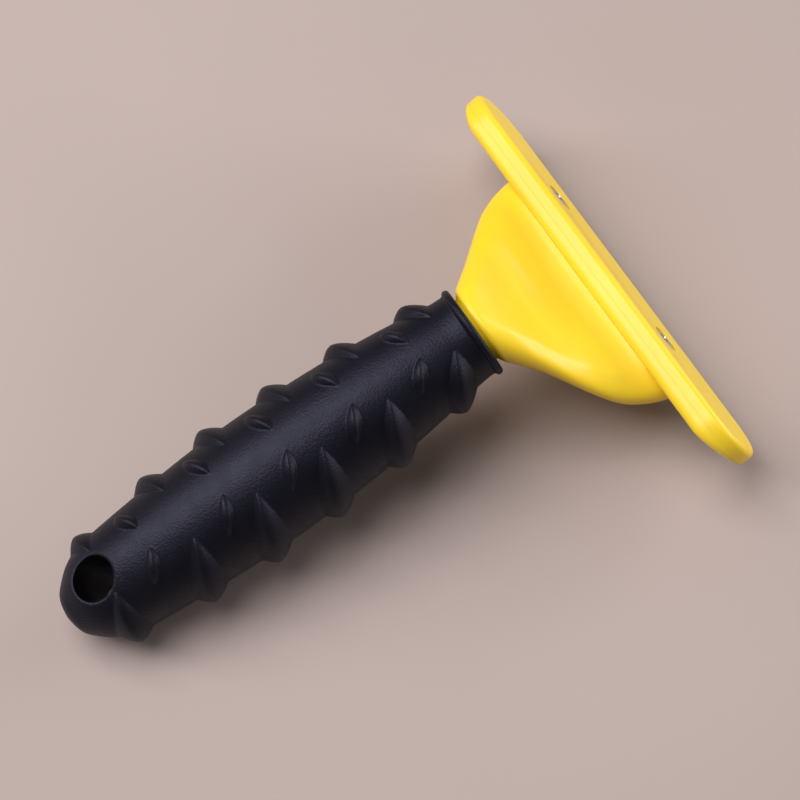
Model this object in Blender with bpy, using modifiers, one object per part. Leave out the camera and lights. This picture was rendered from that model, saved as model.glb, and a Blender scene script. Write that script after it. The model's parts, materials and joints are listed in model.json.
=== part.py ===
"""A hand-held de-shedding comb for pets: rubber grip, moulded yellow head and a clamped steel comb.

Three frames are used. The tool frame has its origin at the closed tip of the grip, +X along the handle
towards the head, +Y to the left and +Z out of the handle's back. The head frame sits in the middle of
the front plate's face, with +X out of the face and +Z up the plate. The world frame is the tool lying
at rest, on the heel of its grip and on the tips of its comb teeth.
"""

import math

import bmesh
import bpy
from mathutils import Matrix, Vector

MM = 0.001
GAP = 0.3 * MM                      # clearance between pieces that touch
MERGE = 0.02 * MM                   # merge distance, well under the smallest detail

# Grip sleeve, along the handle
GRIP_LENGTH = 122 * MM
SLEEVE_SEGMENTS = 32
RIM_RADIUS = 12.3 * MM              # outer radius of the rolled bead at the sleeve's mouth
BEAD_RADIUS = 1.0 * MM
MOUTH_RADIUS = 10.6 * MM
MOUTH_DEPTH = 4.5 * MM
HANG_HOLE_X = 12.3 * MM
HANG_HOLE_RADIUS = 5.7 * MM
GRIP_OUTLINE = (                    # distance from the tip and radius, in mm, tip to mouth
    (0, 0), (1.3, 5.0), (3.8, 8.0), (8.0, 11.2), (13.5, 13.1), (22, 14.1), (34, 15.1), (48, 16.0),
    (60, 16.2), (72, 15.9), (86, 15.1), (98, 14.0), (108, 12.7), (116, 11.5), (119.6, 11.3),
)

# Raised ribs of the grip: large fins on both flanks, small leaves in four rows between them
FIN_TIPS = (38.4, 56.9, 75.8, 95.3, 115.0)      # where each fin starts, in mm from the grip's tip
FIN_START_ANGLE = math.radians(27)  # from the middle of the handle's back
FIN_END_ANGLE = math.radians(150)
FIN_LEAN = 5.9 * MM                 # how far a fin runs back towards the grip's tip
FIN_BOW = 2.4 * MM
FIN_TAIL_WIDTH = 3.8 * MM           # from the crest down to the steep side
FIN_HEAD_WIDTH = 5.4 * MM           # from the crest down to the gentle side
FIN_HEIGHT = 2.9 * MM
HEEL_FIN_TIP = 15 * MM              # the fin nearest the grip's tip
HEEL_FIN_SIZE = 0.75                # against the others
HEEL_FIN_LEAN = 1.5 * MM
LEAF_MIDDLES = (26.3, 47.9, 66.4, 85.3, 104.7)      # in mm from the grip's tip
LEAF_ROW_ANGLE = math.radians(27.5)
LEAF_REACH = math.radians(17)
LEAF_LEAN = 4.4 * MM
LEAF_HALF_WIDTH = 1.9 * MM
LEAF_HEIGHT = 1.4 * MM
RIB_ROOT = 0.5 * MM                 # how far a rib reaches down into the sleeve

# Core that fills the sleeve, and the neck that leaves it
TANG_START_X = 22 * MM
TANG_START_RADIUS = 7.6 * MM
TANG_END_X = 117 * MM
TANG_END_RADIUS = 9.3 * MM
NECK_SEGMENTS = 40
NECK_SECTIONS = (                   # distance from the tip, half width, half height and centre height,
                                    # then depth and half width of the thumb scoop, in mm
    (117.0, 9.3, 9.3, 0.0, 0.0, 6.0),
    (121.5, 10.2, 9.8, 0.4, 0.0, 6.0),
    (125.0, 12.4, 10.4, -0.6, 0.4, 6.5),
    (129.0, 16.5, 10.8, -4.0, 1.5, 8.5),
    (132.5, 21.0, 10.8, -8.2, 2.6, 11.5),
    (136.5, 26.3, 10.6, -13.2, 3.5, 17.5),
    (140.5, 30.7, 10.4, -17.0, 3.9, 23.0),
    (145.0, 33.6, 10.1, -19.2, 3.6, 26.5),
    (150.0, 35.4, 9.9, -20.9, 2.9, 28.5),
    (154.3, 36.0, 9.7, -21.4, 2.4, 29.0),
)
NECK_START_X = 125.0                # where the neck starts to lean towards the head's tilt
NECK_END_X = 154.3

# Head: two clamped layers with the comb between them
HEAD_X = 159.6 * MM                 # middle of the front face, in the tool frame
HEAD_Z = -20.5 * MM
HEAD_TILT = math.radians(11.8)      # how far the front face looks up from the handle's direction
PLATE_LENGTH = 119.4 * MM
PLATE_HEIGHT = 23.4 * MM
PLATE_CORNER = 11.2 * MM
PLATE_THICKNESS = 7.2 * MM          # both layers together
COVER_THICKNESS = 3.45 * MM
EDGE_ROUND = 1.8 * MM
TAPER_START_Y = 49 * MM             # the back layer thins out from here to the ends of the plate
END_THICKNESS = 1.4 * MM            # of the back layer, at the ends

# Steel comb
BLADE_WIDTH = 101.6 * MM
BLADE_THICKNESS = 0.8 * MM
BLADE_TOP = 9.0 * MM                # above the middle of the plate
BLADE_REACH = 9.4 * MM              # below the plate's lower edge
TOOTH_LENGTH = 4.6 * MM
TOOTH_COUNT = 80
SEAT_DEPTH = BLADE_THICKNESS + 0.4 * MM

# Clamp screws
SCREW_Y = 23.6 * MM
SCREW_Z = 1.6 * MM
SCREW_HEAD_RADIUS = 3.65 * MM
SCREW_HEAD_HEIGHT = 1.9 * MM
SCREW_SHANK_RADIUS = 1.75 * MM
SCREW_LENGTH = 15 * MM
SCREW_SINK = 0.3 * MM               # top of the head below the plate's face
POCKET_RADIUS = 4.1 * MM


def new_collection(name):
    """Make a collection in the scene."""
    collection = bpy.data.collections.new(name)
    bpy.context.scene.collection.children.link(collection)
    return collection


def new_material(name, colour, roughness, metallic=0.0):
    """Make a Principled material."""
    material = bpy.data.materials.new(name)
    material.use_nodes = True
    shader = material.node_tree.nodes["Principled BSDF"]
    shader.inputs["Base Color"].default_value = (*colour, 1.0)
    shader.inputs["Roughness"].default_value = roughness
    shader.inputs["Metallic"].default_value = metallic
    return material


def add_object(name, data, collection, parent=None, material=None):
    """Link an object to a collection, under a parent."""
    obj = bpy.data.objects.new(name, data)
    collection.objects.link(obj)
    obj.parent = parent
    if material is not None:
        data.materials.append(material)
    return obj


def mesh_from_bmesh(name, bm):
    """Turn a bmesh into a mesh with outward faces and smooth shading between sharp edges."""
    bmesh.ops.recalc_face_normals(bm, faces=bm.faces)
    mesh = bpy.data.meshes.new(name)
    bm.to_mesh(mesh)
    bm.free()
    mesh.shade_smooth()
    mesh.set_sharp_from_angle(angle=math.radians(35))
    return mesh


def boolean(target, other, operation="DIFFERENCE"):
    """Cut another object from the target, or join it on."""
    modifier = target.modifiers.new(other.name, "BOOLEAN")
    modifier.operation = operation
    modifier.object = other


def as_cutter(obj):
    """Keep a helper solid out of the model itself."""
    obj.hide_render = True
    obj.display_type = "WIRE"
    return obj


def smooth_path(points, steps):
    """Points on a smooth curve through control points of any number of coordinates."""
    controls = [Vector(point) for point in points]
    path = []
    for index in range(len(controls) - 1):
        before = controls[max(index - 1, 0)]
        start, end = controls[index], controls[index + 1]
        after = controls[min(index + 2, len(controls) - 1)]
        for step in range(steps):
            t = step / steps
            path.append(0.5 * (2 * start + (end - before) * t
                               + (2 * before - 5 * start + 4 * end - after) * t ** 2
                               + (3 * start - before - 3 * end + after) * t ** 3))
    path.append(controls[-1])
    return path


def grip_profile():
    """Outer half outline of the sleeve, as distance from the tip and radius, in metres."""
    return [Vector((x * MM, max(radius, 0.0) * MM)) for x, radius in smooth_path(GRIP_OUTLINE, 2)]


def grip_radius(x):
    """Outer radius of the bare sleeve at a distance from the tip."""
    profile = grip_profile()
    for start, end in zip(profile, profile[1:]):
        if start.x <= x <= end.x:
            return start.y + (end.y - start.y) * (x - start.x) / (end.x - start.x)
    return profile[-1].y


def add_turned(name, profile, segments, collection, parent, material=None):
    """Turn a profile about the parent's X axis.

    The profile is distance along the axis and radius, and its outer side runs down to the lower end.
    """
    bm = bmesh.new()
    vertices = [bm.verts.new((radius, 0.0, along)) for along, radius in profile]
    for start, end in zip(vertices, vertices[1:]):
        bm.edges.new((start, end))
    mesh = bpy.data.meshes.new(name)
    bm.to_mesh(mesh)
    bm.free()
    obj = add_object(name, mesh, collection, parent, material)
    obj.rotation_euler = (0.0, math.radians(90), 0.0)
    screw = obj.modifiers.new("turn", "SCREW")
    screw.axis = "Z"
    screw.steps = segments
    screw.render_steps = segments
    screw.use_merge_vertices = True
    screw.merge_threshold = MERGE
    screw.use_normal_calculate = False
    return obj


def loft(bm, rings):
    """Join closed rings of equal size with faces and cap both ends."""
    loops = [[bm.verts.new(point) for point in ring] for ring in rings]
    for lower, upper in zip(loops, loops[1:]):
        for index in range(len(lower)):
            following = (index + 1) % len(lower)
            bm.faces.new((lower[index], lower[following], upper[following], upper[index]))
    bm.faces.new(loops[0])
    bm.faces.new(loops[-1])


def on_grip(x, angle, height):
    """A point on the grip, at an angle from its back and a height above its bare surface."""
    radius = grip_radius(x) + height
    return Vector((x, radius * math.sin(angle), radius * math.cos(angle)))


def add_rib(name, crest, tail_width, head_width, height, collection, parent):
    """Add one raised rib: a wedge, pointed at both ends, along a crest line on the grip.

    The crest line is a function from 0 to 1 that gives distance from the grip's tip and angle.
    """
    stations = 7
    bm = bmesh.new()
    rings = []
    for index in range(stations):
        share = 0.03 + 0.94 * index / (stations - 1)
        swell = math.sin(math.pi * share) ** 0.85
        x, angle = crest(share)
        rings.append((
            on_grip(x + head_width * swell, angle, -RIB_ROOT),
            on_grip(x, angle, height * swell),
            on_grip(x - tail_width * swell, angle, -RIB_ROOT),
            on_grip(x, angle, -2 * RIB_ROOT),
        ))
    loft(bm, rings)
    return as_cutter(add_object(name, mesh_from_bmesh(name, bm), collection, parent))


def fin_crest(start_x, lean, side):
    """Crest line of a large fin, down one flank and back towards the grip's tip."""
    def crest(share):
        angle = FIN_START_ANGLE + (FIN_END_ANGLE - FIN_START_ANGLE) * share
        return start_x - FIN_BOW * math.sin(math.pi * share) - lean * share, side * angle

    return crest


def leaf_crest(middle_x, side, underneath):
    """Crest line of a small leaf, slanting towards the head where it nears the middle of its face."""
    def crest(share):
        angle = LEAF_ROW_ANGLE + LEAF_REACH * (2 * share - 1)
        if underneath:
            angle = math.pi - angle
        return middle_x + LEAF_LEAN * (0.5 - share), side * angle

    return crest


def make_grip_sleeve(parts, cutters, tool, rubber):
    """Rubber sleeve: ribbed, with a rolled mouth, a blind bore for the tang and a hang hole."""
    bore_end_x = TANG_START_X - GAP
    bead_x = GRIP_LENGTH - BEAD_RADIUS
    bead_y = RIM_RADIUS - BEAD_RADIUS
    profile = [
        (bore_end_x, 0.0),
        (bore_end_x, TANG_START_RADIUS + GAP),
        (TANG_END_X, TANG_END_RADIUS + GAP),
        (GRIP_LENGTH - MOUTH_DEPTH + 1.0 * MM, MOUTH_RADIUS),
        (GRIP_LENGTH - 0.3 * MM, MOUTH_RADIUS),
    ]
    for degrees in (0, 45, 90, 135, 170):
        angle = math.radians(degrees)
        profile.append((bead_x + BEAD_RADIUS * math.cos(angle), bead_y + BEAD_RADIUS * math.sin(angle)))
    profile += [(x, radius) for x, radius in reversed(grip_profile())]
    sleeve = add_turned("grip_sleeve", profile, SLEEVE_SEGMENTS, parts, tool, rubber)

    fins = [(HEEL_FIN_TIP, HEEL_FIN_LEAN, HEEL_FIN_SIZE)]
    fins += [(tip * MM, FIN_LEAN, 1.0) for tip in FIN_TIPS]
    for side in (-1, 1):
        for number, (tip, lean, size) in enumerate(fins):
            rib = add_rib(f"fin_{side}_{number}", fin_crest(tip, lean, side), size * FIN_TAIL_WIDTH,
                          size * FIN_HEAD_WIDTH, size * FIN_HEIGHT, cutters, tool)
            boolean(sleeve, rib, "UNION")
        for number, middle in enumerate(LEAF_MIDDLES):
            for underneath in (False, True):
                rib = add_rib(f"leaf_{side}_{number}_{underneath}",
                              leaf_crest(middle * MM, side, underneath), LEAF_HALF_WIDTH,
                              LEAF_HALF_WIDTH, LEAF_HEIGHT, cutters, tool)
                boolean(sleeve, rib, "UNION")

    bpy.ops.mesh.primitive_cylinder_add(vertices=24, radius=HANG_HOLE_RADIUS, depth=60 * MM)
    hole = as_cutter(move_to(bpy.context.object, "hang_hole", cutters, tool))
    hole.location = (HANG_HOLE_X, 0.0, 0.0)
    boolean(sleeve, hole)
    return sleeve


def move_to(obj, name, collection, parent):
    """Put a fresh primitive into a collection, under a parent."""
    obj.name = name
    for owner in list(obj.users_collection):
        owner.objects.unlink(obj)
    collection.objects.link(obj)
    obj.parent = parent
    return obj


def neck_ring(section):
    """One closed section of the neck: a soft box, hollowed along its back by the thumb scoop."""
    x, half_width, half_height, centre_z, scoop, scoop_width = section
    progress = min(max((x - NECK_START_X) / (NECK_END_X - NECK_START_X), 0.0), 1.0)
    tilt = HEAD_TILT * progress
    squareness = 1.0 + 0.25 * progress
    ring = []
    for index in range(NECK_SEGMENTS):
        angle = 2 * math.pi * index / NECK_SEGMENTS
        across = math.copysign(abs(math.cos(angle)) ** (1 / squareness), math.cos(angle))
        up = math.copysign(abs(math.sin(angle)) ** (1 / squareness), math.sin(angle))
        y = half_width * across
        z = half_height * up
        if up > 0:
            z -= scoop * max(0.0, 1 - (y / scoop_width) ** 2) ** 1.5
        ring.append(Vector((x - z * math.sin(tilt), y, centre_z + z * math.cos(tilt))) * MM)
    return ring


def rounded_outline(length, height, corner, steps=6):
    """Corner-rounded rectangle in the YZ plane, as points going round."""
    points = []
    for quarter, (side_y, side_z) in enumerate(((1, 1), (-1, 1), (-1, -1), (1, -1))):
        for step in range(steps + 1):
            angle = math.radians(90 * (quarter + step / steps))
            points.append((side_y * (length / 2 - corner) + corner * math.cos(angle),
                           side_z * (height / 2 - corner) + corner * math.sin(angle)))
    return points


def add_slab(name, outlines, back_x, front_x, collection, parent, material=None):
    """Extrude closed outlines in the head's YZ plane between two depths; inner outlines are holes."""
    curve = bpy.data.curves.new(name, "CURVE")
    curve.dimensions = "2D"
    curve.fill_mode = "BOTH"
    curve.extrude = (front_x - back_x) / 2
    for outline in outlines:
        spline = curve.splines.new("POLY")
        spline.points.add(len(outline) - 1)
        for point, (y, z) in zip(spline.points, outline):
            point.co = (y, z, 0.0, 1.0)
        spline.use_cyclic_u = True
    guide = add_object(name + "_outline", curve, collection)
    evaluated = guide.evaluated_get(bpy.context.evaluated_depsgraph_get())
    mesh = bpy.data.meshes.new_from_object(evaluated)
    bpy.data.objects.remove(guide)
    bm = bmesh.new()
    bm.from_mesh(mesh)
    bmesh.ops.remove_doubles(bm, verts=bm.verts, dist=MERGE)
    turn = Matrix(((0, 0, 1, (front_x + back_x) / 2), (1, 0, 0, 0), (0, 1, 0, 0), (0, 0, 0, 1)))
    bmesh.ops.transform(bm, matrix=turn, verts=bm.verts)
    bm.to_mesh(mesh)
    bm.free()
    return add_object(name, mesh, collection, parent, material)


def replace_mesh(obj, bm):
    """Give an object a new mesh and keep its material."""
    materials = list(obj.data.materials)
    obj.data = mesh_from_bmesh(obj.name, bm)
    for material in materials:
        obj.data.materials.append(material)


def round_outer_edge(obj, face_x, radius):
    """Round the outline's outer edge where it meets the face at one depth."""
    bm = bmesh.new()
    bm.from_mesh(obj.data)
    edges = []
    for edge in bm.edges:
        on_face = all(abs(vertex.co.x - face_x) < MERGE for vertex in edge.verts)
        is_rim = any(abs(face.normal.x) < 0.5 for face in edge.link_faces)
        if on_face and is_rim:
            edges.append(edge)
    bmesh.ops.bevel(bm, geom=edges, offset=radius, segments=3, profile=0.5, affect="EDGES",
                    clamp_overlap=False)
    replace_mesh(obj, bm)


def thin_the_ends(obj, fixed_x, start_y, end_y, end_share):
    """Thin a slab towards both ends, from start_y on, and leave the face at one depth where it is."""
    bm = bmesh.new()
    bm.from_mesh(obj.data)
    for step in range(3):
        cut_y = start_y + (end_y - start_y) * step / 4
        for side in (-1, 1):
            bmesh.ops.bisect_plane(bm, geom=bm.verts[:] + bm.edges[:] + bm.faces[:], dist=MERGE,
                                   plane_co=(0.0, side * cut_y, 0.0), plane_no=(0.0, 1.0, 0.0))
    for vertex in bm.verts:
        share = min(max((abs(vertex.co.y) - start_y) / (end_y - start_y), 0.0), 1.0)
        thickness = 1.0 - (1.0 - end_share) * share ** 1.5
        vertex.co.x = fixed_x + (vertex.co.x - fixed_x) * thickness
    replace_mesh(obj, bm)


def add_cylinder_cutter(name, radius, back_x, front_x, y, z, cutters, head):
    """A cylinder along the head's X axis, between two depths."""
    bpy.ops.mesh.primitive_cylinder_add(vertices=24, radius=radius, depth=front_x - back_x)
    cutter = as_cutter(move_to(bpy.context.object, name, cutters, head))
    cutter.rotation_euler = (0.0, math.radians(90), 0.0)
    cutter.location = ((front_x + back_x) / 2, y, z)
    return cutter


def make_head_body(parts, cutters, tool, head, yellow):
    """Yellow core, neck and back layer of the head, in one moulding."""
    bm = bmesh.new()
    rings = []
    rings.append(neck_ring((TANG_START_X / MM, TANG_START_RADIUS / MM, TANG_START_RADIUS / MM, 0, 0, 1)))
    rings += [neck_ring(section) for section in smooth_path(NECK_SECTIONS, 2)]
    loft(bm, rings)
    body = add_object("head_body", mesh_from_bmesh("head_body", bm), parts, tool, yellow)

    back_x = -PLATE_THICKNESS
    front_x = -COVER_THICKNESS - GAP
    outline = rounded_outline(PLATE_LENGTH, PLATE_HEIGHT, PLATE_CORNER)
    flange = add_slab("back_layer", (outline,), back_x, front_x, cutters, head)
    round_outer_edge(flange, back_x, EDGE_ROUND)
    thin_the_ends(flange, front_x, TAPER_START_Y, PLATE_LENGTH / 2, END_THICKNESS / (front_x - back_x))
    boolean(body, as_cutter(flange), "UNION")

    seat_bottom = -PLATE_HEIGHT / 2 - 2 * MM
    seat_top = BLADE_TOP + GAP
    bpy.ops.mesh.primitive_cube_add(size=1.0)
    seat = as_cutter(move_to(bpy.context.object, "comb_seat", cutters, head))
    seat.scale = (SEAT_DEPTH * 2, BLADE_WIDTH + 2 * GAP, seat_top - seat_bottom)
    seat.location = (front_x, 0.0, (seat_top + seat_bottom) / 2)
    boolean(body, seat)

    for side in (-1, 1):
        pilot_end = -SCREW_SINK - SCREW_HEAD_HEIGHT - SCREW_LENGTH - 1 * MM
        pilot = add_cylinder_cutter(f"pilot_{side}", SCREW_SHANK_RADIUS + GAP, pilot_end, 5 * MM,
                                    side * SCREW_Y, SCREW_Z, cutters, head)
        boolean(body, pilot)
    return body


def make_face_plate(parts, cutters, head, yellow):
    """Front layer of the head, with two round pockets that sink the screw heads."""
    outline = rounded_outline(PLATE_LENGTH, PLATE_HEIGHT, PLATE_CORNER)
    plate = add_slab("face_plate", (outline,), -COVER_THICKNESS, 0.0, parts, head, yellow)
    round_outer_edge(plate, 0.0, EDGE_ROUND)
    pocket_floor = -SCREW_SINK - SCREW_HEAD_HEIGHT - GAP
    for side in (-1, 1):
        pocket = add_cylinder_cutter(f"pocket_{side}", POCKET_RADIUS, pocket_floor, 5 * MM,
                                     side * SCREW_Y, SCREW_Z, cutters, head)
        boolean(plate, pocket)
        passage = add_cylinder_cutter(f"passage_{side}", SCREW_SHANK_RADIUS + GAP, -10 * MM, 5 * MM,
                                      side * SCREW_Y, SCREW_Z, cutters, head)
        boolean(plate, passage)
    return plate


def comb_outline():
    """Outline of the steel comb: a plain sheet whose lower edge is cut into fine teeth."""
    tip_z = -PLATE_HEIGHT / 2 - BLADE_REACH
    root_z = tip_z + TOOTH_LENGTH
    half = BLADE_WIDTH / 2
    pitch = BLADE_WIDTH / TOOTH_COUNT
    points = [(half, BLADE_TOP), (-half, BLADE_TOP)]
    for number in range(TOOTH_COUNT):
        left = -half + pitch * number
        points += [
            (left + 0.02 * pitch, root_z),
            (left + 0.28 * pitch, tip_z),
            (left + 0.58 * pitch, tip_z),
            (left + 0.84 * pitch, root_z),
        ]
    points.append((half, root_z))
    return points


def make_comb_blade(parts, head, steel):
    """Toothed steel sheet, held between the two layers by the screws that pass through it."""
    hole_radius = SCREW_SHANK_RADIUS + 2 * GAP
    outlines = [comb_outline()]
    for side in (-1, 1):
        hole = []
        for step in range(16):
            angle = 2 * math.pi * step / 16
            hole.append((side * SCREW_Y + hole_radius * math.cos(angle),
                         SCREW_Z + hole_radius * math.sin(angle)))
        outlines.append(hole)
    front_x = -COVER_THICKNESS - GAP
    blade = add_slab("comb_blade", outlines, front_x - BLADE_THICKNESS, front_x, parts, head, steel)
    blade.data.shade_flat()
    return blade


def make_clamp_screw(name, side, parts, cutters, head, steel):
    """Cross-head screw: domed head, plain shank and a pointed end."""
    top = -SCREW_SINK
    under = top - SCREW_HEAD_HEIGHT
    end = under - SCREW_LENGTH
    profile = [
        (top, 0.0),
        (top - 0.05 * MM, 2.4 * MM),
        (top - 0.5 * MM, 3.4 * MM),
        (top - 1.1 * MM, SCREW_HEAD_RADIUS),
        (under, SCREW_HEAD_RADIUS),
        (under, SCREW_SHANK_RADIUS),
        (end + 2.5 * MM, SCREW_SHANK_RADIUS),
        (end, 0.0),
    ]
    screw = add_turned(name, profile, 24, parts, head, steel)
    screw.location = (0.0, side * SCREW_Y, SCREW_Z)
    for turn in (45, 135):
        bpy.ops.mesh.primitive_cube_add(size=1.0)
        slot = as_cutter(move_to(bpy.context.object, f"{name}_slot_{turn}", cutters, head))
        slot.scale = (2.4 * MM, 4.2 * MM, 0.9 * MM)
        slot.location = (top, side * SCREW_Y, SCREW_Z)
        slot.rotation_euler = (math.radians(turn), 0.0, 0.0)
        boolean(screw, slot)
    return screw


def rest_pitch():
    """Angle of the handle above the ground, with the grip's heel and the comb's tips both on it."""
    reach = PLATE_HEIGHT / 2 + BLADE_REACH
    depth = COVER_THICKNESS + GAP
    tip_x = HEAD_X - depth * math.cos(HEAD_TILT) + reach * math.sin(HEAD_TILT)
    tip_z = HEAD_Z - depth * math.sin(HEAD_TILT) - reach * math.cos(HEAD_TILT)
    return min(math.atan2(-radius - tip_z, tip_x - x) for x, radius in grip_profile())


def stand_on_ground(tool, parts):
    """Move the whole tool so that its box is centred over the origin with its lowest point at zero."""
    bpy.context.view_layer.update()
    depsgraph = bpy.context.evaluated_depsgraph_get()
    corners = []
    for obj in parts.objects:
        if obj.type != "MESH":
            continue
        evaluated = obj.evaluated_get(depsgraph)
        mesh = evaluated.to_mesh()
        corners += [obj.matrix_world @ vertex.co for vertex in mesh.vertices]
        evaluated.to_mesh_clear()
    low_x = min(corner.x for corner in corners)
    high_x = max(corner.x for corner in corners)
    low_z = min(corner.z for corner in corners)
    tool.location = (-(low_x + high_x) / 2, 0.0, -low_z)
    bpy.context.view_layer.update()


def main():
    for obj in list(bpy.data.objects):
        bpy.data.objects.remove(obj)
    parts = new_collection("deshedding_comb")
    cutters = new_collection("cutters")

    tool = add_object("tool_frame", None, parts)
    tool.rotation_euler = (0.0, -rest_pitch(), 0.0)
    head = add_object("head_frame", None, parts, tool)
    head.location = (HEAD_X, 0.0, HEAD_Z)
    head.rotation_euler = (0.0, -HEAD_TILT, 0.0)

    rubber = new_material("black_rubber", (0.012, 0.013, 0.018), 0.55)
    yellow = new_material("yellow_plastic", (0.93, 0.60, 0.01), 0.28)
    steel = new_material("comb_steel", (0.62, 0.62, 0.63), 0.25, 1.0)
    zinc = new_material("screw_zinc", (0.55, 0.55, 0.57), 0.35, 1.0)

    make_grip_sleeve(parts, cutters, tool, rubber)
    make_head_body(parts, cutters, tool, head, yellow)
    make_face_plate(parts, cutters, head, yellow)
    make_comb_blade(parts, head, steel)
    make_clamp_screw("clamp_screw_left", 1, parts, cutters, head, zinc)
    make_clamp_screw("clamp_screw_right", -1, parts, cutters, head, zinc)
    stand_on_ground(tool, parts)


main()
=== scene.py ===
import json
import math

import bmesh
import bpy
import numpy as np
from mathutils import Matrix, Vector

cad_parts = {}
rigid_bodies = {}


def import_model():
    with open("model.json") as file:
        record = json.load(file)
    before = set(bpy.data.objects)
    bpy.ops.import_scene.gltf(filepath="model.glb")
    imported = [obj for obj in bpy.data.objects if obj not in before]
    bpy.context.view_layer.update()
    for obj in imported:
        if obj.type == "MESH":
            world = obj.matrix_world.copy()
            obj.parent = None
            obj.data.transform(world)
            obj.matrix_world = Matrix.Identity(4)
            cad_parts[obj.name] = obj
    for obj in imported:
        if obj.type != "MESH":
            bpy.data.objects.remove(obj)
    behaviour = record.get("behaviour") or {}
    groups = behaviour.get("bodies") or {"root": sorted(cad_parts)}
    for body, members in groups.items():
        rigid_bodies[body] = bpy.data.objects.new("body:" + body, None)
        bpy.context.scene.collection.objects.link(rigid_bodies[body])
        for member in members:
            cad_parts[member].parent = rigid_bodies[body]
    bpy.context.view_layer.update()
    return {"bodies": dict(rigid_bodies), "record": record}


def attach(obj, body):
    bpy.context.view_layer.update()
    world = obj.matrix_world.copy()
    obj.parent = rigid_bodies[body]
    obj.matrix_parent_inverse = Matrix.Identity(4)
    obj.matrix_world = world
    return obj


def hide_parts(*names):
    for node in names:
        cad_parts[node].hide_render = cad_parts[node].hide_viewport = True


# The looks of a pet de-shedding comb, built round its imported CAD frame.
#
# Shapes are worked out in millimetres in two frames taken from the record's mounts. The tool frame
# starts at the grip's closed tip, with +X along the handle and +Z out of its back. The head frame sits
# in the middle of the front plate's face, with +X out of the face and +Z up the plate.

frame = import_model()
MOUNTS = {mount["name"]: mount for mount in frame["record"]["mounts"]}
BODY = next(iter(frame["bodies"]))

# Grip
GRIP_LENGTH = 122.0
HANG_HOLE_X = 12.3
HANG_HOLE_RADIUS = 5.7
HANG_HOLE_LIP = 0.7
GRIP_HOLE_TOP = 12.0
HANG_HOLE_DRAFT = 0.06              # how much the hole narrows on its way down, per mm
GRIP_OUTLINE = (                    # distance from the tip and radius, tip to mouth
    (0.02, 0), (1.3, 5.0), (3.8, 8.0), (8.0, 11.2), (13.5, 13.1), (22, 14.1), (34, 15.1), (48, 16.0),
    (60, 16.2), (72, 15.9), (86, 15.1), (98, 14.0), (108, 12.7), (116, 11.5), (119.6, 11.3),
)
RIM_RADIUS = 12.27
BEAD_RADIUS = 1.0
MOUTH_RADIUS = 10.6
MOUTH_DEPTH = 4.5
BORE_END_X = 21.7
BORE_RADII = (7.9, 9.6)             # at the blind end and just behind the mouth
BORE_SHOULDER = 0.5                 # from the mouth's full width down to the bore
LIP_SINK = 0.35                     # how far the skin dips towards the hang hole's edge
GRIP_ROW_STEP = 0.28
GRIP_COLUMNS = 384

# Ribs of the grip
HEEL_FIN_TIP = 15.0
HEEL_FIN_SIZE = 0.9
HEEL_FIN_LEAN = 1.5
FIN_TIPS = (38.4, 56.9, 75.8, 95.3, 115.0)
FIN_ANGLES = (27.0, 150.0)
FIN_LEAN = 5.9
FIN_BOW = 2.4
FIN_TAIL_WIDTH = 3.8
FIN_HEAD_WIDTH = 5.4
FIN_HEIGHT = 2.9
LEAF_MIDDLES = (26.3, 47.9, 66.4, 85.3, 104.7)
LEAF_ROW_ANGLE = 27.5
LEAF_REACH = 17.0
LEAF_LEAN = 4.4
LEAF_HALF_WIDTH = 2.15
LEAF_HEIGHT = 1.6
RIB_FULLNESS = 1.55                 # 1 gives flat sides, more gives fuller ones
RIB_END_POWER = 0.85                # below 1 keeps a rib high until close to its ends
CREST_SOFTNESS = 0.03
RIB_FADE_RADIUS = 6.0               # ribs fade out where the grip is thinner than this

# Neck
NECK_SECTIONS = (                   # distance from the tip, half width, half height and centre height,
                                    # then depth and half width of the thumb scoop, in mm
    (112.0, 8.4, 8.4, 0.0, 0.0, 6.0),
    (120.0, 8.4, 8.4, 0.0, 0.0, 6.0),
    (122.3, 8.8, 8.7, 0.1, 0.0, 6.0),
    (123.5, 10.7, 9.9, 0.0, 0.1, 6.2),
    (125.0, 12.2, 10.4, -0.6, 0.4, 6.5),
    (129.0, 16.5, 10.8, -4.0, 1.5, 8.5),
    (132.5, 21.0, 10.8, -8.2, 2.6, 11.5),
    (136.5, 26.3, 10.6, -13.2, 3.5, 17.5),
    (140.5, 30.7, 10.4, -17.0, 3.9, 23.0),
    (145.0, 33.6, 10.1, -19.2, 3.6, 26.5),
    (150.0, 35.4, 9.9, -20.9, 2.9, 28.5),
    (154.3, 36.0, 9.7, -21.4, 2.4, 29.0),
)
NECK_START_X = 125.0
NECK_END_X = 154.3
NECK_COLUMNS = 192
NECK_STEPS = 14
NECK_FILLET = 0.5

# Head
HEAD_TILT = math.radians(11.8)
PLATE_LENGTH = 119.38
PLATE_HEIGHT = 23.4
PLATE_CORNER = 11.2
PLATE_THICKNESS = 7.2
COVER_THICKNESS = 3.45
BACK_ROUND = 2.4
FRONT_ROUND = 1.7
RIM_BORDER = 0.4                    # flat border that keeps the rounding's shading off the faces
TAPER_START_Y = 49.0                # the back layer thins out from here to the ends of the plate
END_THICKNESS = 1.4                 # of the back layer, at the ends
SEAM_GAP = 0.01                     # hairline between the two layers
SEAM_ROUND = 0.025
SCREW_Y = 23.6
SCREW_Z = 1.6
POCKET_RADIUS = 3.85
POCKET_CHAMFER = 0.12
POCKET_DEPTH = 2.5
POCKET_CORNER = 0.2

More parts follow.
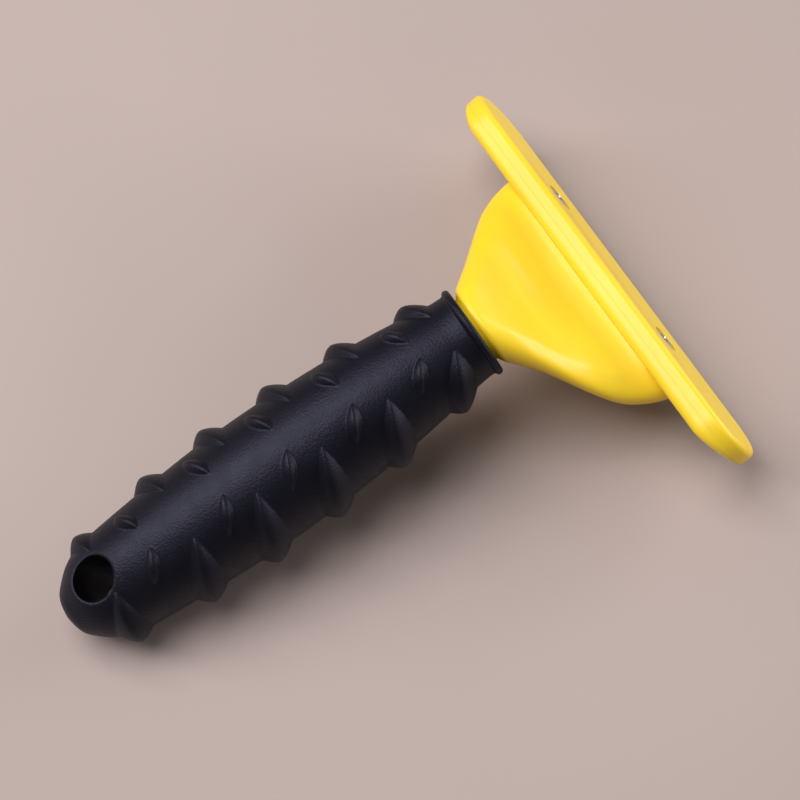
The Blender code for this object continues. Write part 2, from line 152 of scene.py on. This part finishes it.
# Screws
SCREW_SINK = 0.05
SCREW_DOME = 0.4                    # how far the head falls away towards its rim
SCREW_HEAD_RADIUS = 3.65
SCREW_HEAD_HEIGHT = 1.9
SCREW_DOME_RADIUS = 3.45
SCREW_EDGE = 0.2                    # height of the rounded edge between dome and side
SCREW_SHANK_RADIUS = 1.75
SCREW_LENGTH = 15.0
SCREW_POINT_LENGTH = 2.0
SCREW_POINT_RADIUS = 1.3
THREAD_PITCH = 1.2
THREAD_ROOT_RADIUS = 1.45
THREAD_START = 0.6                  # below the head
THREAD_END_ROOM = 3.0               # shank left without thread
RECESS_ANGLES = (38, 128)           # degrees
RECESS_DEPTH = 1.5
RECESS_LENGTHS = (4.3, 2.0)         # of an arm pair, at the top and at the bottom
RECESS_WIDTHS = (0.95, 0.6)
SCREW_BEVEL = 0.00006               # metres

# Comb
BLADE_WIDTH = 101.6
BLADE_THICKNESS = 0.8
BLADE_TOP = 9.0
BLADE_REACH = 9.4
TOOTH_LENGTH = 4.6
TOOTH_COUNT = 80
TOOTH_TIP_THICKNESS = 0.34
BLADE_SETBACK = 0.3                 # behind the seam of the head's two layers
BLADE_LAND = 2.0                    # height over which the sheet thins towards the teeth
TOOTH_ROOT_SHARE = 0.8              # of the sheet's thickness, at the teeth's roots
TOOTH_OFFSET = 0.44                 # of a pitch, from the sheet's end to the first tooth
TOOTH_HALF_WIDTH = 0.38             # of a pitch, at the root
TOOTH_NARROWING = 0.55              # share of its width that a tooth loses by its tip
TOOTH_POINT = 0.6                   # share of the tip's size left at its very end
TOOTH_OVERLAP = 0.05                # that a tooth's root reaches up into the sheet
TOOTH_LEVELS = (0.0, 0.25, 0.5, 0.75, 0.93, 1.0)

# Colours
RUBBER_DARK = (0.0030, 0.0030, 0.0052)
RUBBER_BLOOM = (0.0048, 0.0048, 0.0082)
LINT_DARK = (0.012, 0.012, 0.016)
LINT_PALE = (0.03, 0.03, 0.036)
YELLOW_DEEP = (0.94, 0.61, 0.018)
YELLOW_LIGHT = (0.95, 0.66, 0.026)
STEEL_DARK = (0.52, 0.52, 0.53)
STEEL_LIGHT = (0.66, 0.66, 0.66)
ZINC_DARK = (0.46, 0.46, 0.49)
ZINC_LIGHT = (0.66, 0.66, 0.68)
FLOOR_DARK = (0.40, 0.315, 0.290)
FLOOR_LIGHT = (0.43, 0.340, 0.315)

# Studio: azimuth and elevation in degrees, distance and sides in metres, power in watts
LIGHTS = (
    ("key", 131, 71, 1.1, (0.80, 0.80), 12.5),
    ("side", 140, 34, 1.2, (0.3, 0.8), 5.0),
    ("front", -10, 16, 1.2, (1.1, 0.5), 10.0),
)
FLOOR_SIZE = 6.0
FLOOR_DROP = 0.0001                 # metres below the CAD's ground
SURROUND_COLOUR = (0.93, 0.96, 1.0, 1.0)
SURROUND_STRENGTH = 0.12

# Camera: where it aims and how it turns round the object
CAMERA_AIM = Vector((0.0143, 0.0001, 0.020))
CAMERA_AZIMUTH = math.radians(-23.46)
CAMERA_ELEVATION = math.radians(66.85)
CAMERA_ROLL = math.radians(-9.44)
CAMERA_DISTANCE = 0.662
CAMERA_LENS = 120.6


def basis(x_axis):
    """Rotation whose X axis is given and whose Y axis is the world's."""
    x_axis = Vector(x_axis).normalized()
    y_axis = Vector((0.0, 1.0, 0.0))
    z_axis = x_axis.cross(y_axis)
    return Matrix((x_axis, y_axis, z_axis)).transposed()


def tool_matrix():
    """Places the tool frame, from the hang hole's centre and direction."""
    hole = MOUNTS["hang_hole"]
    up = Vector(hole["axis"])
    turn = basis((up.z, 0.0, -up.x))
    start = Vector(hole["pos_m"]) - turn @ Vector((HANG_HOLE_X / 1000, 0.0, 0.0))
    return Matrix.Translation(start) @ turn.to_4x4() @ Matrix.Scale(0.001, 4)


def head_matrix():
    """Places the head frame, from the plate's front face."""
    face = MOUNTS["plate_face"]
    turn = basis(face["axis"])
    return Matrix.Translation(Vector(face["pos_m"])) @ turn.to_4x4() @ Matrix.Scale(0.001, 4)


TOOL = tool_matrix()
HEAD = head_matrix()


def smooth_path(points, steps):
    """Points on a smooth curve through control points of any number of coordinates."""
    controls = np.array(points, float)
    path = []
    for index in range(len(controls) - 1):
        before = controls[max(index - 1, 0)]
        start, end = controls[index], controls[index + 1]
        after = controls[min(index + 2, len(controls) - 1)]
        for t in np.arange(steps) / steps:
            path.append(0.5 * (2 * start + (end - before) * t
                               + (2 * before - 5 * start + 4 * end - after) * t ** 2
                               + (3 * start - before - 3 * end + after) * t ** 3))
    path.append(controls[-1])
    return np.array(path)


def evenly(path, step):
    """The same path with points a fixed distance apart."""
    lengths = np.concatenate(([0.0], np.cumsum(np.linalg.norm(np.diff(path, axis=0), axis=1))))
    places = np.linspace(0.0, lengths[-1], int(lengths[-1] / step) + 1)
    return np.stack([np.interp(places, lengths, path[:, axis]) for axis in range(path.shape[1])], 1)


def arc(centre, radius, start, end, count):
    """Points on an arc, with angles in degrees."""
    angles = np.radians(np.linspace(start, end, count))
    return np.stack([centre[0] + radius * np.cos(angles), centre[1] + radius * np.sin(angles)], 1)


def mesh_object(name, vertices, faces, matrix, sharp=40.0):
    """Make a smooth-shaded object from points in a local frame."""
    mesh = bpy.data.meshes.new(name)
    mesh.from_pydata([tuple(vertex) for vertex in vertices], [], faces)
    bm = bmesh.new()
    bm.from_mesh(mesh)
    bmesh.ops.remove_doubles(bm, verts=bm.verts, dist=0.002)
    bmesh.ops.recalc_face_normals(bm, faces=bm.faces)
    bmesh.ops.transform(bm, matrix=matrix, verts=bm.verts)
    bm.to_mesh(mesh)
    bm.free()
    mesh.shade_smooth()
    mesh.set_sharp_from_angle(angle=math.radians(sharp))
    obj = bpy.data.objects.new(name, mesh)
    bpy.context.scene.collection.objects.link(obj)
    return obj


def lofted(name, rings, matrix, caps=(True, True), sharp=40.0, strips=False):
    """Join closed rings, given as an array of rows of points, into one skin.

    With strips, the caps are made of strips between each point and its mirror image in the ring.
    """
    rows, columns = rings.shape[:2]
    vertices = rings.reshape(-1, 3)
    faces = []
    for row in range(rows - 1):
        for column in range(columns):
            following = (column + 1) % columns
            faces.append((row * columns + column, row * columns + following,
                          (row + 1) * columns + following, (row + 1) * columns + column))
    for wanted, start in zip(caps, (0, (rows - 1) * columns)):
        if wanted and strips:
            for left in range(columns // 2 - 1):
                right = columns - 1 - left
                faces.append((start + left, start + left + 1, start + right - 1, start + right))
        elif wanted:
            faces.append(tuple(range(start, start + columns)))
    return mesh_object(name, vertices, faces, matrix, sharp)


def turned(name, profile, matrix, columns=96, sharp=40.0):
    """Turn a profile of axial distance and radius about the local X axis; it starts and ends on it."""
    profile = np.array(profile, float)
    angles = 2 * math.pi * np.arange(columns) / columns
    rings = np.empty((len(profile), columns, 3))
    rings[:, :, 0] = profile[:, :1]
    rings[:, :, 1] = profile[:, 1:] * np.sin(angles)
    rings[:, :, 2] = profile[:, 1:] * np.cos(angles)
    return lofted(name, rings, matrix, (False, False), sharp)


def cut(target, cutter):
    """Cut one object from another at once, and remove the cutter."""
    modifier = target.modifiers.new("cut", "BOOLEAN")
    modifier.operation = "DIFFERENCE"
    modifier.object = cutter
    apply_modifiers(target)
    bpy.data.objects.remove(cutter)


def apply_modifiers(obj):
    """Replace an object's mesh by what its modifiers make of it."""
    evaluated = obj.evaluated_get(bpy.context.evaluated_depsgraph_get())
    mesh = bpy.data.meshes.new_from_object(evaluated)
    obj.modifiers.clear()
    obj.data = mesh


def finish_piece(obj, material, node):
    """Give a piece its material, hide the CAD node it stands for and attach it to the body."""
    obj.data.materials.clear()
    obj.data.materials.append(material)
    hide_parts(node)
    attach(obj, BODY)


# ---------------------------------------------------------------- materials


class Nodes:
    """A material's node tree, with short calls for the nodes used here."""

    def __init__(self, name):
        self.material = bpy.data.materials.new(name)
        self.material.use_nodes = True
        self.tree = self.material.node_tree
        self.shader = self.tree.nodes["Principled BSDF"]
        self.place = self.tree.nodes.new("ShaderNodeTexCoord").outputs["Object"]

    def link(self, source, target):
        self.tree.links.new(source, target)

    def stretched(self, scale):
        """Object coordinates, stretched."""
        node = self.tree.nodes.new("ShaderNodeMapping")
        node.inputs["Scale"].default_value = scale
        self.link(self.place, node.inputs["Vector"])
        return node.outputs["Vector"]

    def noise(self, scale, detail=3.0, roughness=0.55, vector=None):
        node = self.tree.nodes.new("ShaderNodeTexNoise")
        node.inputs["Scale"].default_value = scale
        node.inputs["Detail"].default_value = detail
        node.inputs["Roughness"].default_value = roughness
        self.link(vector or self.place, node.inputs["Vector"])
        return node.outputs["Fac"]

    def cells(self, scale):
        node = self.tree.nodes.new("ShaderNodeTexVoronoi")
        node.inputs["Scale"].default_value = scale
        self.link(self.place, node.inputs["Vector"])
        return node.outputs["Distance"]

    def ramp(self, value, stops):
        """Colours or greys along a value, as (position, colour) stops."""
        node = self.tree.nodes.new("ShaderNodeValToRGB")
        elements = node.color_ramp.elements
        while len(elements) < len(stops):
            elements.new(0.5)
        for element, (position, colour) in zip(elements, stops):
            element.position = position
            element.color = (*colour, 1.0) if isinstance(colour, tuple) else (colour, colour, colour, 1.0)
        self.link(value, node.inputs["Fac"])
        return node.outputs["Color"]

    def span(self, value, low, high):
        """Map 0..1 to a range."""
        node = self.tree.nodes.new("ShaderNodeMapRange")
        node.inputs["To Min"].default_value = low
        node.inputs["To Max"].default_value = high
        self.link(value, node.inputs["Value"])
        return node.outputs["Result"]

    def mix(self, factor, first, second):
        node = self.tree.nodes.new("ShaderNodeMix")
        node.data_type = "RGBA"
        self.link(factor, node.inputs["Factor"])
        self.link(first, node.inputs["A"])
        self.link(second, node.inputs["B"])
        return node.outputs["Result"]

    def bump(self, *layers):
        """Stack bump layers, each a height and its depth in millimetres, onto the shader."""
        normal = None
        for height, depth in layers:
            node = self.tree.nodes.new("ShaderNodeBump")
            node.inputs["Strength"].default_value = 1.0
            node.inputs["Distance"].default_value = depth / 1000
            self.link(height, node.inputs["Height"])
            if normal is not None:
                self.link(normal, node.inputs["Normal"])
            normal = node.outputs["Normal"]
        self.link(normal, self.shader.inputs["Normal"])


def rubber_material():
    """Black moulded rubber: fine leathery grain, a faint bluish bloom and specks of dust."""
    nodes = Nodes("black_rubber_grained")
    bloom = nodes.ramp(nodes.noise(70, 4), ((0.35, RUBBER_DARK), (0.7, RUBBER_BLOOM)))
    dust = nodes.ramp(nodes.noise(900, 1.0, 0.3), ((0.80, 0.0), (0.84, 1.0)))
    lint = nodes.ramp(nodes.noise(40, 2), ((0.0, LINT_DARK), (1.0, LINT_PALE)))
    nodes.link(nodes.mix(dust, bloom, lint), nodes.shader.inputs["Base Color"])
    nodes.link(nodes.span(nodes.noise(260, 4), 0.38, 0.56), nodes.shader.inputs["Roughness"])
    nodes.shader.inputs["Specular IOR Level"].default_value = 0.27
    nodes.shader.inputs["Specular Tint"].default_value = (0.72, 0.70, 1.0, 1.0)
    nodes.bump((nodes.cells(1700), 0.052), (nodes.noise(2600, 2), 0.045), (nodes.noise(160, 2), 0.014))
    return nodes.material


def yellow_material():
    """Glossy yellow moulding with faint flow marks, handling scratches and slight orange peel."""
    nodes = Nodes("yellow_plastic_moulded")
    flow = nodes.noise(28, 3, vector=nodes.stretched((0.5, 1.0, 1.0)))
    colour = nodes.ramp(flow, ((0.35, YELLOW_DEEP), (0.68, YELLOW_LIGHT)))
    nodes.link(colour, nodes.shader.inputs["Base Color"])
    nodes.link(nodes.span(nodes.noise(400, 4), 0.36, 0.48), nodes.shader.inputs["Roughness"])
    streaks = nodes.noise(90, 2, vector=nodes.stretched((1.0, 14.0, 3.0)))
    scratches = nodes.ramp(streaks, ((0.66, 0.0), (0.69, 1.0)))
    nodes.bump((nodes.noise(900, 2), 0.012), (nodes.noise(120, 2), 0.05), (scratches, 0.004))
    nodes.shader.inputs["Specular IOR Level"].default_value = 0.4
    nodes.shader.inputs["Subsurface Weight"].default_value = 0.12
    nodes.shader.inputs["Subsurface Radius"].default_value = (0.0022, 0.0013, 0.0004)
    nodes.shader.inputs["Subsurface Scale"].default_value = 1.0
    nodes.shader.inputs["Coat Weight"].default_value = 0.15
    nodes.shader.inputs["Coat Roughness"].default_value = 0.22
    return nodes.material


def steel_material():
    """Ground stainless sheet, brushed along its width."""
    nodes = Nodes("comb_steel_ground")
    brush = nodes.noise(700, 3, vector=nodes.stretched((1.0, 0.02, 1.0)))
    nodes.link(nodes.ramp(brush, ((0.3, STEEL_DARK), (0.7, STEEL_LIGHT))), nodes.shader.inputs["Base Color"])
    nodes.shader.inputs["Metallic"].default_value = 1.0
    nodes.link(nodes.span(brush, 0.18, 0.38), nodes.shader.inputs["Roughness"])
    nodes.bump((brush, 0.006))
    return nodes.material


def zinc_material():
    """Zinc-plated screw: slightly mottled and pitted."""
    nodes = Nodes("screw_zinc_plated")
    mottle = nodes.noise(900, 4)
    nodes.link(nodes.ramp(mottle, ((0.3, ZINC_DARK), (0.7, ZINC_LIGHT))), nodes.shader.inputs["Base Color"])
    nodes.shader.inputs["Metallic"].default_value = 1.0
    nodes.link(nodes.span(mottle, 0.22, 0.45), nodes.shader.inputs["Roughness"])
    nodes.bump((nodes.noise(2500, 2), 0.01))
    return nodes.material


# ---------------------------------------------------------------- grip


def rib_height(x, angle, crest, tail_width, head_width, height):
    """Height of one rib over the bare grip. The crest gives its X and its share of length."""
    share, crest_x = crest(angle)
    inside = (share > 0.0) & (share < 1.0)
    swell = np.sin(math.pi * np.clip(share, 0.0, 1.0)) ** RIB_END_POWER
    swell = np.maximum(swell, 1e-6)
    offset = x - crest_x
    across = np.where(offset > 0, offset / head_width, -offset / tail_width) / swell
    softened = np.sqrt(across ** 2 + CREST_SOFTNESS ** 2) - CREST_SOFTNESS
    flank = np.clip(1.0 - softened ** RIB_FULLNESS, 0.0, 1.0)
    return np.where(inside, height * swell * flank, 0.0)


def fin_crest(start_x, lean):
    """Crest of a large fin as a function of the angle from the back of the handle, in degrees."""
    def crest(angle):
        share = (angle - FIN_ANGLES[0]) / (FIN_ANGLES[1] - FIN_ANGLES[0])
        bow = np.sin(math.pi * np.clip(share, 0.0, 1.0))
        return share, start_x - FIN_BOW * bow - lean * share

    return crest


def leaf_crest(middle_x, row_angle, slant):
    """Crest of a small leaf as a function of the angle from the back of the handle, in degrees."""
    def crest(angle):
        share = (angle - row_angle) / (2 * LEAF_REACH) + 0.5
        return share, middle_x + slant * (0.5 - share)

    return crest


def ribs(x, angle):
    """Height of the ribs over the bare grip, for arrays of distance and of angle from its back."""
    folded = np.abs(angle)
    height = np.zeros_like(x)
    fins = [(HEEL_FIN_TIP, HEEL_FIN_LEAN, HEEL_FIN_SIZE)] + [(tip, FIN_LEAN, 1.0) for tip in FIN_TIPS]
    for tip, lean, size in fins:
        fin = rib_height(x, folded, fin_crest(tip, lean), size * FIN_TAIL_WIDTH, size * FIN_HEAD_WIDTH,
                         size * FIN_HEIGHT)
        height = np.maximum(height, fin)
    for middle in LEAF_MIDDLES:
        for row_angle, slant in ((LEAF_ROW_ANGLE, LEAF_LEAN), (180 - LEAF_ROW_ANGLE, -LEAF_LEAN)):
            leaf = rib_height(x, folded, leaf_crest(middle, row_angle, slant),
                              LEAF_HALF_WIDTH, LEAF_HALF_WIDTH, LEAF_HEIGHT)
            height = np.maximum(height, leaf)
    return height


def grip_sleeve():
    """Ribbed rubber sleeve with its rolled mouth and hang hole."""
    outside = evenly(smooth_path(GRIP_OUTLINE, 24), GRIP_ROW_STEP)
    outside[0, 1] = 0.0
    bead_centre = (GRIP_LENGTH - BEAD_RADIUS, RIM_RADIUS - BEAD_RADIUS)
    bead = arc(bead_centre, BEAD_RADIUS, 165, -10, 16)
    inside = [(GRIP_LENGTH - 0.15, MOUTH_RADIUS + 0.1), (GRIP_LENGTH - 0.5, MOUTH_RADIUS),
              (GRIP_LENGTH - MOUTH_DEPTH + 1, MOUTH_RADIUS),
              (GRIP_LENGTH - MOUTH_DEPTH - BORE_SHOULDER, BORE_RADII[1]),
              (BORE_END_X, BORE_RADII[0]), (BORE_END_X, 0.0)]
    profile = np.concatenate([outside, bead, np.array(inside)])
    angles = 360.0 * np.arange(GRIP_COLUMNS) / GRIP_COLUMNS - 180.0
    x, angle = np.meshgrid(profile[:, 0], angles, indexing="ij")
    radius = np.repeat(profile[:, 1:], GRIP_COLUMNS, axis=1)
    outer = slice(0, len(outside))
    radius[outer] += ribs(x[outer], angle[outer]) * np.clip(radius[outer] / RIB_FADE_RADIUS, 0.0, 1.0)

    y = radius * np.sin(np.radians(angle))
    z = radius * np.cos(np.radians(angle))
    beyond_hole = np.hypot(x[outer] - HANG_HOLE_X, y[outer]) - HANG_HOLE_RADIUS
    lip = np.clip(1.0 - beyond_hole / HANG_HOLE_LIP, 0.0, 1.0) ** 2
    z[outer] -= np.sign(z[outer]) * LIP_SINK * lip
    sleeve = lofted("grip_sleeve_ribbed", np.stack([x, y, z], 2), TOOL, (False, False), 70.0)

    upright = TOOL @ Matrix.Translation((HANG_HOLE_X, 0, 0)) @ Matrix.Rotation(math.radians(-90), 4, "Y")
    ends = [(reach, HANG_HOLE_RADIUS + HANG_HOLE_DRAFT * (reach - GRIP_HOLE_TOP)) for reach in (-30, 30)]
    hole = turned("hole", [(-30, 0), *ends, (30, 0)], upright)
    cut(sleeve, hole)
    sleeve.data.set_sharp_from_angle(angle=math.radians(50))
    return sleeve


# ---------------------------------------------------------------- head


def head_depth(points):
    """How far points of the tool frame lie in front of the plate's face, in millimetres."""
    to_head = HEAD.inverted() @ TOOL
    axis = np.array(to_head)[0]
    return points @ axis[:3] + axis[3]


def neck_rings():
    """Closed sections of the neck, soft boxes hollowed by the thumb scoop, ending in a fillet."""
    angles = 2 * math.pi * np.arange(NECK_COLUMNS) / NECK_COLUMNS
    rings = []
    for x, half_width, half_height, centre_z, scoop, scoop_width in smooth_path(NECK_SECTIONS, NECK_STEPS):
        progress = min(max((x - NECK_START_X) / (NECK_END_X - NECK_START_X), 0.0), 1.0)
        tilt = HEAD_TILT * progress
        power = 1 / (1.0 + 0.25 * progress)
        across = np.sign(np.cos(angles)) * np.abs(np.cos(angles)) ** power
        up = np.sign(np.sin(angles)) * np.abs(np.sin(angles)) ** power
        z = half_height * up
        hollow = scoop * np.clip(1 - (half_width * across / scoop_width) ** 2, 0.0, 1.0) ** 1.5
        z = np.where(up > 0, z - hollow, z)
        ring = np.stack([x - z * math.sin(tilt), half_width * across, centre_z + z * math.cos(tilt)], 1)
        behind = -PLATE_THICKNESS - head_depth(ring)
        rise = np.clip(NECK_FILLET - behind, 0.0, NECK_FILLET)
        flare = NECK_FILLET - np.sqrt(NECK_FILLET ** 2 - rise ** 2)
        outward = ring[:, 1:] - np.array([0.0, centre_z])
        outward /= np.linalg.norm(outward, axis=1, keepdims=True)
        ring[:, 1:] += outward * flare[:, None]
        rings.append(ring)
    return np.array(rings)


def outline_ring(x, inset, steps=20):
    """Rounded outline of the plate, drawn in by an inset, at a depth in the head frame."""
    half_length = PLATE_LENGTH / 2 - PLATE_CORNER
    half_height = PLATE_HEIGHT / 2 - PLATE_CORNER
    radius = PLATE_CORNER - inset
    points = []
    for quarter, (side_y, side_z) in enumerate(((1, 1), (-1, 1), (-1, -1), (1, -1))):
        for step in range(steps + 1):
            angle = math.radians(90 * (quarter + step / steps))
            points.append((x, side_y * half_length + radius * math.cos(angle),
                           side_z * half_height + radius * math.sin(angle)))
    return points


def rounded_layer(name, back_x, front_x, back_round, front_round, end_thickness=None):
    """One layer of the head, rounded along its rims; it may thin out towards its ends from the back."""
    quarter = np.radians(np.linspace(0, 90, 9))
    back = [(back_x + back_round * (1 - math.sin(turn)), back_round * (1 - math.cos(turn)))
            for turn in quarter[::-1]]
    front = [(front_x - front_round * (1 - math.sin(turn)), front_round * (1 - math.cos(turn)))
             for turn in quarter]
    back.insert(0, (back_x, back_round + RIM_BORDER))
    front.append((front_x, front_round + RIM_BORDER))
    rings = np.array([outline_ring(x, inset) for x, inset in back + front])
    if end_thickness is not None:
        way_out = (np.abs(rings[:, :, 1]) - TAPER_START_Y) / (PLATE_LENGTH / 2 - TAPER_START_Y)
        loss = (1 - end_thickness / (front_x - back_x)) * np.clip(way_out, 0.0, 1.0) ** 1.5
        rings[:, :, 0] = front_x + (rings[:, :, 0] - front_x) * (1 - loss)
    return lofted(name, rings, HEAD, sharp=30.0, strips=True)


def on_screw_axis(side):
    """Head frame moved to one screw's axis."""
    return HEAD @ Matrix.Translation((0.0, side * SCREW_Y, SCREW_Z))


def head_pieces():
    """Neck, back layer and front layer of the head."""
    neck = lofted("neck_moulded", neck_rings(), TOOL, sharp=60.0)
    seam = -COVER_THICKNESS
    back = rounded_layer("back_layer_moulded", -PLATE_THICKNESS, seam - SEAM_GAP, BACK_ROUND, SEAM_ROUND,
                         END_THICKNESS)
    front = rounded_layer("front_layer_moulded", seam, 0.0, SEAM_ROUND, FRONT_ROUND)
    mouth = POCKET_RADIUS + POCKET_CHAMFER
    for side in (-1, 1):
        profile = [(-POCKET_DEPTH, 0.0), (-POCKET_DEPTH, POCKET_RADIUS - POCKET_CORNER),
                   (-POCKET_DEPTH + POCKET_CORNER, POCKET_RADIUS), (-POCKET_CHAMFER, POCKET_RADIUS),
                   (0.0, mouth), (1.0, mouth + 1.0), (1.0, 0.0)]
        cut(front, turned("pocket", profile, on_screw_axis(side), 72))
    front.data.set_sharp_from_angle(angle=math.radians(30))
    return neck, back, front


def tapered_bar(name, matrix, top_length, bottom_length, top_width, bottom_width, depth):
    """A bar along local Y that narrows towards negative X, for one arm pair of a cross recess."""
    points = []
    for x, length, width in ((0.4, top_length, top_width), (-depth, bottom_length, bottom_width)):
        for side_y, side_z in ((1, 1), (-1, 1), (-1, -1), (1, -1)):
            points.append((x, side_y * length / 2, side_z * width / 2))
    faces = [(0, 1, 2, 3), (4, 5, 6, 7)]
    faces += [(corner, (corner + 1) % 4, (corner + 1) % 4 + 4, corner + 4) for corner in range(4)]
    return mesh_object(name, points, faces, matrix)


def clamp_screw(name, side):
    """Cross-head screw with a softly domed head and a threaded-looking shank."""
    top = -SCREW_SINK
    under = top - SCREW_HEAD_HEIGHT
    end = under - SCREW_LENGTH
    dome = [(top - SCREW_DOME * (radius / SCREW_HEAD_RADIUS) ** 3, radius)
            for radius in np.linspace(0, SCREW_DOME_RADIUS, 14)]
    profile = dome + [(top - SCREW_DOME - SCREW_EDGE, SCREW_HEAD_RADIUS), (under, SCREW_HEAD_RADIUS),
                      (under, SCREW_SHANK_RADIUS)]
    for turn in range(int((SCREW_LENGTH - THREAD_END_ROOM) / THREAD_PITCH)):
        start = under - THREAD_START - turn * THREAD_PITCH
        profile += [(start, THREAD_ROOT_RADIUS), (start - 0.45 * THREAD_PITCH, SCREW_SHANK_RADIUS),
                    (start - 0.55 * THREAD_PITCH, SCREW_SHANK_RADIUS)]
    profile += [(end + SCREW_POINT_LENGTH, SCREW_POINT_RADIUS), (end, 0.0)]
    axis = on_screw_axis(side)
    screw = turned(name, profile, axis, 96, 30.0)
    for degrees in RECESS_ANGLES:
        turned_axis = axis @ Matrix.Translation((top, 0, 0)) @ Matrix.Rotation(math.radians(degrees), 4, "X")
        cut(screw, tapered_bar("arm", turned_axis, *RECESS_LENGTHS, *RECESS_WIDTHS, RECESS_DEPTH))
    bevel = screw.modifiers.new("soft_edges", "BEVEL")
    bevel.width = SCREW_BEVEL
    bevel.segments = 2
    bevel.limit_method = "ANGLE"
    bevel.angle_limit = math.radians(35)
    apply_modifiers(screw)
    screw.data.set_sharp_from_angle(angle=math.radians(40))
    return screw


def comb_blade():
    """Steel sheet with a row of ground teeth that taper in width and in thickness."""
    front = -COVER_THICKNESS - BLADE_SETBACK
    middle = front - BLADE_THICKNESS / 2
    tip_z = -PLATE_HEIGHT / 2 - BLADE_REACH
    root_z = tip_z + TOOTH_LENGTH
    half = BLADE_WIDTH / 2
    pitch = BLADE_WIDTH / TOOTH_COUNT
    points = []
    faces = []

    def add_block(levels):
        """A column of rectangles, each given as z, low y, high y and half thickness."""
        start = len(points)
        for z, low, high, thick in levels:
            points.extend(((middle - thick, low, z), (middle + thick, low, z),
                           (middle + thick, high, z), (middle - thick, high, z)))
        count = len(levels)
        for level in range(count - 1):
            for corner in range(4):
                following = (corner + 1) % 4
                lower = start + 4 * level
                faces.append((lower + corner, lower + following, lower + 4 + following, lower + 4 + corner))
        faces.append(tuple(range(start, start + 4)))
        faces.append(tuple(range(start + 4 * count - 4, start + 4 * count)))

    full = BLADE_THICKNESS / 2
    root = TOOTH_ROOT_SHARE * full
    add_block([(BLADE_TOP, -half, half, full), (root_z + BLADE_LAND, -half, half, full),
               (root_z, -half, half, root)])
    for number in range(TOOTH_COUNT):
        centre = -half + pitch * (number + TOOTH_OFFSET)
        levels = []
        for share in TOOTH_LEVELS:
            point = TOOTH_POINT if share == 1.0 else 1.0
            z = root_z + TOOTH_OVERLAP - (TOOTH_LENGTH + TOOTH_OVERLAP) * share
            width = TOOTH_HALF_WIDTH * pitch * (1 - TOOTH_NARROWING * share) * point
            thick = root + (TOOTH_TIP_THICKNESS / 2 - root) * share
            levels.append((z, centre - width, centre + width, thick * point))
        add_block(levels)
    return mesh_object("comb_blade_ground", points, faces, HEAD, 25.0)


# ---------------------------------------------------------------- room


def add_light(name, azimuth, elevation, distance, size, power):
    """A rectangular softbox that faces the middle of the object."""
    data = bpy.data.lights.new(name, "AREA")
    data.shape = "RECTANGLE"
    data.size, data.size_y = size
    data.energy = power
    light = bpy.data.objects.new(name, data)
    bpy.context.scene.collection.objects.link(light)
    away = Vector((math.cos(elevation) * math.cos(azimuth), math.cos(elevation) * math.sin(azimuth),
                   math.sin(elevation)))
    light.location = CAMERA_AIM + away * distance
    light.rotation_euler = away.to_track_quat("Z", "Y").to_euler()


def add_room():
    """Pale floor, softboxes and a dim surround."""
    bpy.ops.mesh.primitive_plane_add(size=FLOOR_SIZE, location=(0.0, 0.0, -FLOOR_DROP))
    floor = bpy.context.object
    floor.name = "floor"
    nodes = Nodes("pale_floor")
    mottle = nodes.noise(6, 2)
    nodes.link(nodes.ramp(mottle, ((0.3, FLOOR_DARK), (0.7, FLOOR_LIGHT))), nodes.shader.inputs["Base Color"])
    nodes.shader.inputs["Roughness"].default_value = 0.8
    floor.data.materials.append(nodes.material)

    world = bpy.data.worlds.new("studio")
    bpy.context.scene.world = world
    world.use_nodes = True
    background = world.node_tree.nodes["Background"]
    background.inputs["Color"].default_value = SURROUND_COLOUR
    background.inputs["Strength"].default_value = SURROUND_STRENGTH

    for name, azimuth, elevation, distance, size, power in LIGHTS:
        add_light(name, math.radians(azimuth), math.radians(elevation), distance, size, power)
    bpy.context.scene.view_settings.view_transform = "Standard"


def add_camera():
    """Long lens from above and to the right, rolled as the picture is held."""
    data = bpy.data.cameras.new("camera")
    data.lens = CAMERA_LENS
    data.sensor_width = 36.0
    data.clip_start = 0.01
    camera = bpy.data.objects.new("camera", data)
    bpy.context.scene.collection.objects.link(camera)
    back = Vector((math.sin(CAMERA_AZIMUTH) * math.cos(CAMERA_ELEVATION),
                   -math.cos(CAMERA_AZIMUTH) * math.cos(CAMERA_ELEVATION),
                   math.sin(CAMERA_ELEVATION)))
    camera.location = CAMERA_AIM + back * CAMERA_DISTANCE
    level = (-back).to_track_quat("-Z", "Y").to_matrix().to_4x4()
    camera.rotation_euler = (level @ Matrix.Rotation(CAMERA_ROLL, 4, "Z")).to_euler()
    bpy.context.scene.camera = camera


def main():
    rubber = rubber_material()
    yellow = yellow_material()
    steel = steel_material()
    zinc = zinc_material()

    finish_piece(grip_sleeve(), rubber, "grip_sleeve")
    neck, back, front = head_pieces()
    finish_piece(neck, yellow, "head_body")
    finish_piece(back, yellow, "head_body")
    finish_piece(front, yellow, "face_plate")
    finish_piece(comb_blade(), steel, "comb_blade")
    for name, side in (("clamp_screw_left", 1), ("clamp_screw_right", -1)):
        finish_piece(clamp_screw(name + "_cross_head", side), zinc, name)
    add_room()
    add_camera()


main()
